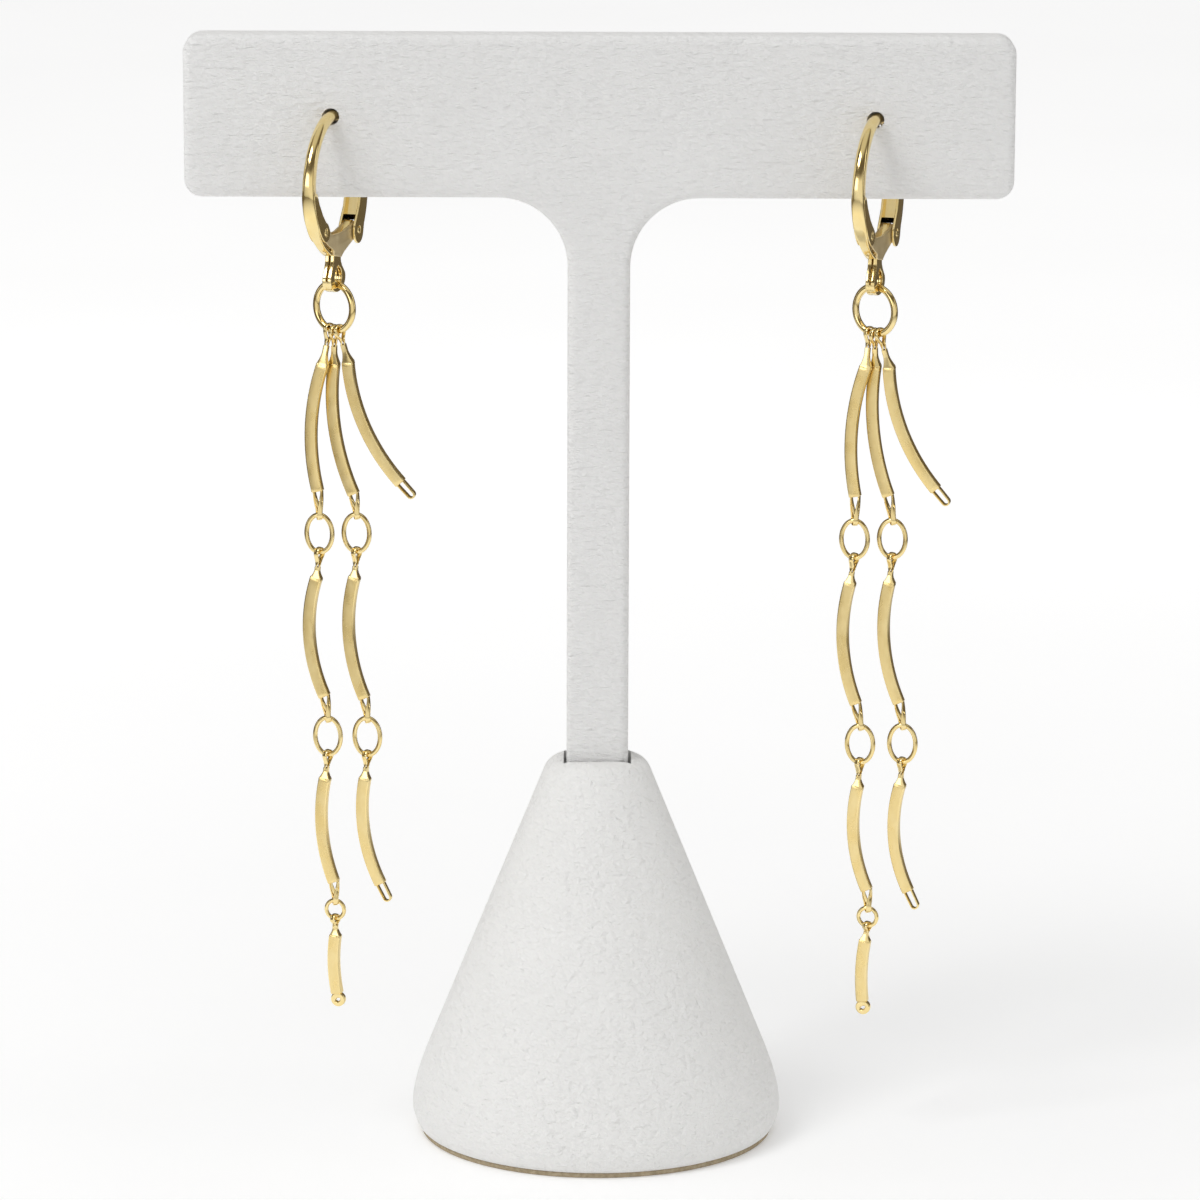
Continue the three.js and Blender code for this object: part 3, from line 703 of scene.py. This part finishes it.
def ring_piece(name, ring):
    width, height, wire, turn = ring["size"]
    a = (width - wire) / 2
    b = (height - wire) / 2
    rings = []
    for i in range(72):
        u = 2 * math.pi * i / 72
        normal = Vector((b * math.cos(u), a * math.sin(u))).normalized()
        loop = []
        for j in range(18):
            v = 2 * math.pi * j / 18
            out = wire / 2 * math.cos(v)
            loop.append((a * math.cos(u) + normal.x * out, b * math.sin(u) + normal.y * out,
                         wire / 2 * math.sin(v)))
        rings.append(loop)
    shells = Shells()
    shells.loft(rings, closed=True)
    return shells.build(name, [POLISHED], ring_frame(turn, ring["at"]))


def ring_table(earring):
    table = {"main": {"size": MAIN_RING, "at": (earring["x"], HOOP_Y, earring["z"] - MAIN_DROP)}}
    for name, kind, x, z, back in earring["rings"]:
        size = OVAL_RING if kind == "oval" else SMALL_RING
        table[name] = {"size": size, "at": (earring["x"] + x, HOOP_Y + back, z)}
    return table


# Where a bar's eye hangs on a ring or carries one: the wire's middle, its run and its diameter
def ring_hold(ring, top, slot=0):
    _, height, wire, turn = ring["size"]
    matrix = ring_frame(turn, ring["at"])
    half = (height - wire) / 2
    a = slot * EYE_SPACING / half
    sign = 1 if top else -1
    point = matrix @ Vector((half * math.sin(a), sign * half * math.cos(a), 0))
    run = (matrix.to_3x3() @ Vector((math.cos(a), -sign * math.sin(a), 0))).normalized()
    return {"point": point, "run": run, "wire": wire}


# Bar links

def eye_axes(base, point, flat, run):
    axis = (point - base).normalized()
    across = (flat - axis * flat.dot(axis)).normalized()
    back = axis.cross(across)
    twist = 0.0
    if run is not None:
        level = (run - axis * run.dot(axis)).normalized()
        twist = (math.atan2(back.cross(level).dot(axis), back.dot(level)) + math.pi) % math.pi
    return {"base": base, "axis": axis, "across": across, "back": back, "twist": twist}


def eye_point(axes, height, share, x, y):
    a = axes["twist"] * share
    return (axes["base"] + axes["axis"] * height
            + axes["across"] * (x * math.cos(a) - y * math.sin(a))
            + axes["back"] * (x * math.sin(a) + y * math.cos(a)))


def eye_strap(shells, axes, start, middle, base_half, radius, depth, twist=(1.0, 0.6)):
    reach = middle - start
    heights = [start + reach * i / EYE_STEPS for i in range(EYE_STEPS)]
    path = []
    for height in heights:
        share = smooth(height, start + 0.4 * reach, middle)
        path.append((lerp(base_half, radius, share), height))
    path += [(x, middle + y) for x, y in arc(0, 0, radius, 0, 180, 16)]
    path += [(-x, height) for x, height in reversed(path[:EYE_STEPS])]
    count = len(path)
    rings = []
    for i, (x, height) in enumerate(path):
        next_x, next_height = path[(i + 1) % count]
        last_x, last_height = path[i - 1]
        normal = Vector((next_height - last_height, last_x - next_x)).normalized()
        share = twist[0] * smooth(height, start, start + twist[1] * reach)
        ring = []
        for j in range(12):
            b = 2 * math.pi * (j + 0.5) / 12
            out = STRAP / 2 * soften(math.cos(b), 0.6)
            deep = depth / 2 * soften(math.sin(b), 0.6)
            ring.append(eye_point(axes, height + normal.y * out, share, x + normal.x * out, deep))
        rings.append(ring)
    shells.loft(rings, closed=True, slot=1)


# A rectangle with rounded corners, CORNER_STEPS + 1 points to a corner
def box_section(half_wide, half_deep, edge):
    edge = min(edge, half_wide * 0.9, half_deep * 0.9)
    section = []
    for x, y, start in ((1, 1, 0), (-1, 1, 90), (-1, -1, 180), (1, -1, 270)):
        centre = (x * (half_wide - edge), y * (half_deep - edge))
        section += arc(*centre, edge, start, start + 90, CORNER_STEPS)
    return section


# The stem above a bar's face: a shoulder that narrows to a neck
def eye_stem(shells, axes, eye):
    wide = LINK_WIDTH * 0.48
    deep = LINK_THICK * 0.47
    neck = STEM_HALF
    rows = [(-EYE_SINK, wide, deep)]
    for i in range(9):
        share = i / 8
        ease = 1 - (1 - share) ** 1.6
        rows.append((eye["shoulder"] * share, lerp(wide, neck, ease), lerp(deep, neck, share)))
    rows.append((eye["stem"], neck, neck))
    rings = []
    for height, half, thick in rows:
        rings.append([eye_point(axes, height, 0, x, y) for x, y in box_section(half, thick, 0.07)])
    shells.loft(rings, slot=1)


def bar_frame(head, foot_point):
    a = math.radians(LINK_TURN)
    up = (head - foot_point).normalized()
    across = Vector((math.cos(a), -math.sin(a), 0))
    across = (across - up * across.dot(up)).normalized()
    matrix = Matrix((across, up, across.cross(up))).transposed().to_4x4()
    matrix.translation = (head + foot_point) / 2
    return across, matrix


def bar_body(shells, length, bow, matrix):
    radius = (length * length / 4 + bow * bow) / (2 * bow)
    middle = radius - bow
    reach = math.asin(length / 2 / radius)
    half = LINK_WIDTH / 2
    ends = [(0.0, 0.09), (0.03, 0.03), (0.08, 0.0)]
    stations = [(along / length, inset) for along, inset in ends]
    stations += [(i / 30, 0.0) for i in range(1, 30)]
    stations += [(1 - along / length, inset) for along, inset in reversed(ends)]
    rings = []
    for share, inset in stations:
        a = math.pi + reach * (1 - 2 * share)
        out = Vector((math.cos(a), math.sin(a), 0))
        centre = Vector((middle, 0, 0)) + out * radius
        section = box_section(half - inset, LINK_THICK / 2 - inset, LINK_EDGE)
        rings.append([matrix @ (centre - out * x + Vector((0, 0, y))) for x, y in section])
    corner = [1] * CORNER_STEPS + [0]
    shells.loft(rings, slots=corner * 4)


def foot_direction(length, bow, matrix):
    lean = 2 * math.atan2(2 * bow, length)
    return (matrix.to_3x3() @ Vector((math.sin(lean), -math.cos(lean), 0))).normalized()


def end_tab(shells, matrix, length):
    y = -length / 2 - TAB["radius"] * 0.8
    outline = arc(0.1, y, TAB["radius"], 0, 345, 35)
    slot = []
    lean = math.radians(TAB["slot_lean"])
    for a in (math.radians(12 * i) for i in range(30)):
        x0 = TAB["slot_long"] * math.cos(a)
        y0 = TAB["slot_wide"] * math.sin(a)
        slot.append((0.1 + x0 * math.cos(lean) - y0 * math.sin(lean),
                     y - 0.05 + x0 * math.sin(lean) + y0 * math.cos(lean)))
    tab = flat_plate(outline, TAB["thick"], 0.12, [slot], rounding=3)
    tab.transform(Matrix.Diagonal((1 / MM, 1 / MM, 1 / MM, 1)))
    points = [matrix @ v.co for v in tab.vertices]
    shells.add(points, [list(p.vertices) for p in tab.polygons], 1)


def bar(earring, row, rings):
    name, head_x, head_z, foot_x, foot_z, bow, head_back, foot_back, above, below = row
    head = Vector((earring["x"] + head_x, HOOP_Y + head_back, head_z))
    foot_point = Vector((earring["x"] + foot_x, HOOP_Y + foot_back, foot_z))
    length = (head - foot_point).length
    across, matrix = bar_frame(head, foot_point)
    shells = Shells()
    bar_body(shells, length, bow, matrix)
    slot = {"a": -1, "b": 0, "c": 1}[name[0]] if above == "main" else 0
    hold = ring_hold(rings[above], False, slot)
    eye = TOP_EYE if above == "main" else RING_EYE
    axes = eye_axes(head, hold["point"], across, hold["run"])
    middle = (hold["point"] - head).length - EYE_REST
    eye_stem(shells, axes, eye)
    twist = MAIN_TWIST if above == "main" else OVAL_TWIST
    eye_strap(shells, axes, eye["stem"] - EYE_SINK, middle, 0.15, loop_radius(hold), eye["depth"], twist)
    if below == "free":
        ahead = foot_point + foot_direction(length, bow, matrix)
        middle = FREE_EYE["length"] - FREE_EYE["radius"] - STRAP / 2
        axes = eye_axes(foot_point, ahead, across, None)
        eye_strap(shells, axes, -EYE_SINK, middle, 0.4, FREE_EYE["radius"], FREE_EYE["depth"])
    elif below == "tab":
        end_tab(shells, matrix, length)
    else:
        hold = ring_hold(rings[below], True)
        axes = eye_axes(foot_point, hold["point"], across, hold["run"])
        middle = (hold["point"] - foot_point).length - EYE_REST
        depth = RING_EYE["depth"]
        eye_strap(shells, axes, -EYE_SINK, middle, 0.42, loop_radius(hold), depth, LOWER_TWIST)
    return shells.build(f"{earring['name']}_bar_{name}_satin", [SATIN, POLISHED])


def loop_radius(hold):
    return hold["wire"] / 2 + EYE_PLAY + STRAP / 2


# One earring

def make_earring(earring):
    side = earring["name"]
    stands_for(ear_hook(earring), f"{side}_ear_hook", ROOT)
    stands_for(saddle(earring), f"{side}_saddle", ROOT)
    stands_for(lever(earring), f"{side}_lever", f"{side}_lever_body")
    hinge_pin = pin(earring, "hinge_pin", HINGE_AT, LEVER_OUTER + PIN_PROUD)
    front_rivet = pin(earring, "front_rivet", RIVET_AT, CLASP_OUTER + PIN_PROUD)
    stands_for(hinge_pin, f"{side}_hinge_pin", ROOT)
    stands_for(front_rivet, f"{side}_front_rivet", ROOT)
    rings = ring_table(earring)
    for name, ring in rings.items():
        node = f"{side}_{'main_ring' if name == 'main' else name}"
        stands_for(ring_piece(f"{node}_wire", ring), node, ROOT)
    for row in earring["bars"]:
        stands_for(bar(earring, row, rings), f"{side}_bar_{row[0]}", ROOT)


# Camera, lights and floor

CAMERA_AT = (0.000224, -0.58203, 0.1802)
CAMERA_LENS = 174.75
CAMERA_TILT = 12.053
CAMERA_ROLL = 0.2
# What polished metal mirrors
DARK_SIDE = (0.13, 0.11, 0.08)
BRIGHT_FRONT = (0.85, 0.84, 0.82)
OVERHEAD = (0.62, 0.60, 0.56)
# What falls on matt surfaces, and what the camera sees behind everything
SOFT_LIGHT = (0.68, 0.68, 0.68)
BACKDROP = (1.0, 1.0, 1.0)


def camera():
    data = bpy.data.cameras.new("camera")
    data.sensor_width = 36
    data.lens = CAMERA_LENS
    data.clip_start = 0.01
    data.clip_end = 20
    view = bpy.data.objects.new("camera", data)
    bpy.context.collection.objects.link(view)
    tilt = Matrix.Rotation(math.radians(90 - CAMERA_TILT), 4, "X")
    roll = Matrix.Rotation(math.radians(CAMERA_ROLL), 4, "Z")
    view.matrix_world = Matrix.Translation(CAMERA_AT) @ tilt @ roll
    bpy.context.scene.camera = view


def area_light(name, place, aim, size, power):
    data = bpy.data.lights.new(name, "AREA")
    data.shape = "RECTANGLE"
    data.size, data.size_y = size
    data.energy = power
    light = bpy.data.objects.new(name, data)
    light.location = place
    light.rotation_euler = (Vector(aim) - Vector(place)).to_track_quat("-Z", "Y").to_euler()
    bpy.context.collection.objects.link(light)


def lights():
    middle = (0, 0, 0.06)
    area_light("key", (-0.38, -0.34, 0.72), middle, (0.30, 0.30), 1.9)
    area_light("front_panel", (-0.55, -0.65, 0.27), middle, (0.34, 0.34), 0.55)
    area_light("right_strip", (0.62, -0.10, 0.25), middle, (0.10, 0.50), 0.22)
    area_light("left_strip", (-0.62, 0.00, 0.22), middle, (0.08, 0.40), 0.15)


# Plain pale surroundings: an even soft light on matt surfaces, while polished metal mirrors
# brightness in front and overhead and darkness elsewhere
def world():
    scene_world = bpy.data.worlds.new("studio")
    bpy.context.scene.world = scene_world
    scene_world.use_nodes = True
    tree = scene_world.node_tree
    shade = tree.nodes["Background"]
    place = add_node(tree, "ShaderNodeTexCoord")
    split = add_node(tree, "ShaderNodeSeparateXYZ")
    tree.links.new(place.outputs["Generated"], split.inputs["Vector"])
    front = ramp(tree, split.outputs["Y"], 1.0, 0.0, -0.85, -0.35)
    high = ramp(tree, split.outputs["Z"], 0.0, 1.0, 0.30, 0.50)
    top = ramp(tree, split.outputs["Z"], 0.0, 1.0, 0.75, 0.92)
    mirrored = mixed(tree, front, DARK_SIDE, BRIGHT_FRONT)
    mirrored = mixed(tree, high, mirrored, DARK_SIDE)
    mirrored = mixed(tree, top, mirrored, OVERHEAD)
    path = add_node(tree, "ShaderNodeLightPath")
    lit = mixed(tree, path.outputs["Is Glossy Ray"], SOFT_LIGHT, mirrored)
    seen = mixed(tree, path.outputs["Is Camera Ray"], lit, BACKDROP)
    tree.links.new(seen, shade.inputs["Color"])


def mixed(tree, share, first, second):
    node = add_node(tree, "ShaderNodeMix", {"data_type": "RGBA"})
    sockets = [s for s in node.inputs if s.type == "RGBA"]
    for socket, value in zip(sockets, (first, second)):
        if isinstance(value, tuple):
            socket.default_value = (*value, 1)
        else:
            tree.links.new(value, socket)
    tree.links.new(share, node.inputs[0])
    return next(s for s in node.outputs if s.type == "RGBA")


def floor():
    shells = Shells()
    shells.loft([[(*p, z) for p in arc(0, 450, 720, 0, 354, 59)] for z in (-2.0, -0.02)])
    material, tree, shader = new_material("pale_floor")
    cloud = noise(tree, (8, 8, 8))
    colour = tint(tree, cloud, (0.93, 0.93, 0.93), (0.95, 0.95, 0.95))
    tree.links.new(colour, shader.inputs["Base Color"])
    shader.inputs["Roughness"].default_value = 0.7
    shader.inputs["Specular IOR Level"].default_value = 0.2
    shader.inputs["Emission Color"].default_value = (1, 1, 1, 1)
    place = add_node(tree, "ShaderNodeTexCoord")
    reach = add_node(tree, "ShaderNodeVectorMath", {"operation": "LENGTH"})
    tree.links.new(place.outputs["Object"], reach.inputs[0])
    glow = ramp(tree, reach.outputs["Value"], 0.12, 0.30, 0.05, 0.35)
    tree.links.new(glow, shader.inputs["Emission Strength"])
    # To glossy rays the floor fades, from 10 to 30 cm out, into a dark emission in DARK_SIDE. This is a
    # painted dark reflection for the polished metal, which the camera and matt surfaces never see.
    far = ramp(tree, reach.outputs["Value"], 0.0, 1.0, 0.10, 0.30)
    path = add_node(tree, "ShaderNodeLightPath")
    both = add_node(tree, "ShaderNodeMath", {"operation": "MULTIPLY"})
    tree.links.new(far, both.inputs[0])
    tree.links.new(path.outputs["Is Glossy Ray"], both.inputs[1])
    painted_dark_reflection = add_node(tree, "ShaderNodeEmission")
    painted_dark_reflection.inputs["Color"].default_value = (*DARK_SIDE, 1)
    blend = add_node(tree, "ShaderNodeMixShader")
    tree.links.new(both.outputs["Value"], blend.inputs[0])
    tree.links.new(shader.outputs["BSDF"], blend.inputs[1])
    tree.links.new(painted_dark_reflection.outputs["Emission"], blend.inputs[2])
    tree.links.new(blend.outputs["Shader"], tree.nodes["Material Output"].inputs["Surface"])
    piece = shells.build("floor", [material])


bpy.context.scene.view_settings.view_transform = "Standard"
camera()
world()
lights()
floor()
board()
foot()
pad()
for one in EARRINGS:
    make_earring(one)
